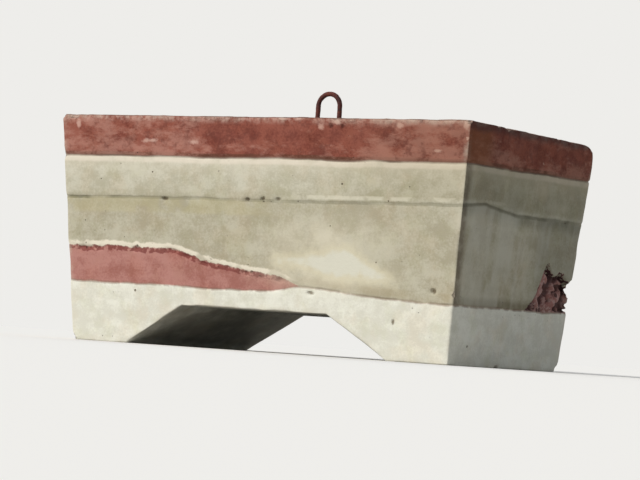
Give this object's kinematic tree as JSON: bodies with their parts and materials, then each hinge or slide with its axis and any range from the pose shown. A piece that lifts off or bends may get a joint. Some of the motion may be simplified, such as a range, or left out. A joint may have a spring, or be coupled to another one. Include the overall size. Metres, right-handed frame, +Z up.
{
  "type": "precast concrete stacking block",
  "caption": "Solid precast concrete block with leaning sides, a fork channel through its sole and a steel lifting loop cast into its top, poured in coloured layers.",
  "frame": {"origin": "middle of the footprint, on the floor", "axes": "+X along the block's length, +Y from the front face to the back face, +Z up"},
  "size_m": [1.299, 0.6936, 0.7269],
  "materials": {
    "concrete": "matte",
    "loop_steel": "matte"
  },
  "bodies": {
    "root": {"concrete_block": "concrete", "lifting_loop": "loop_steel"}
  },
  "joints": []
}
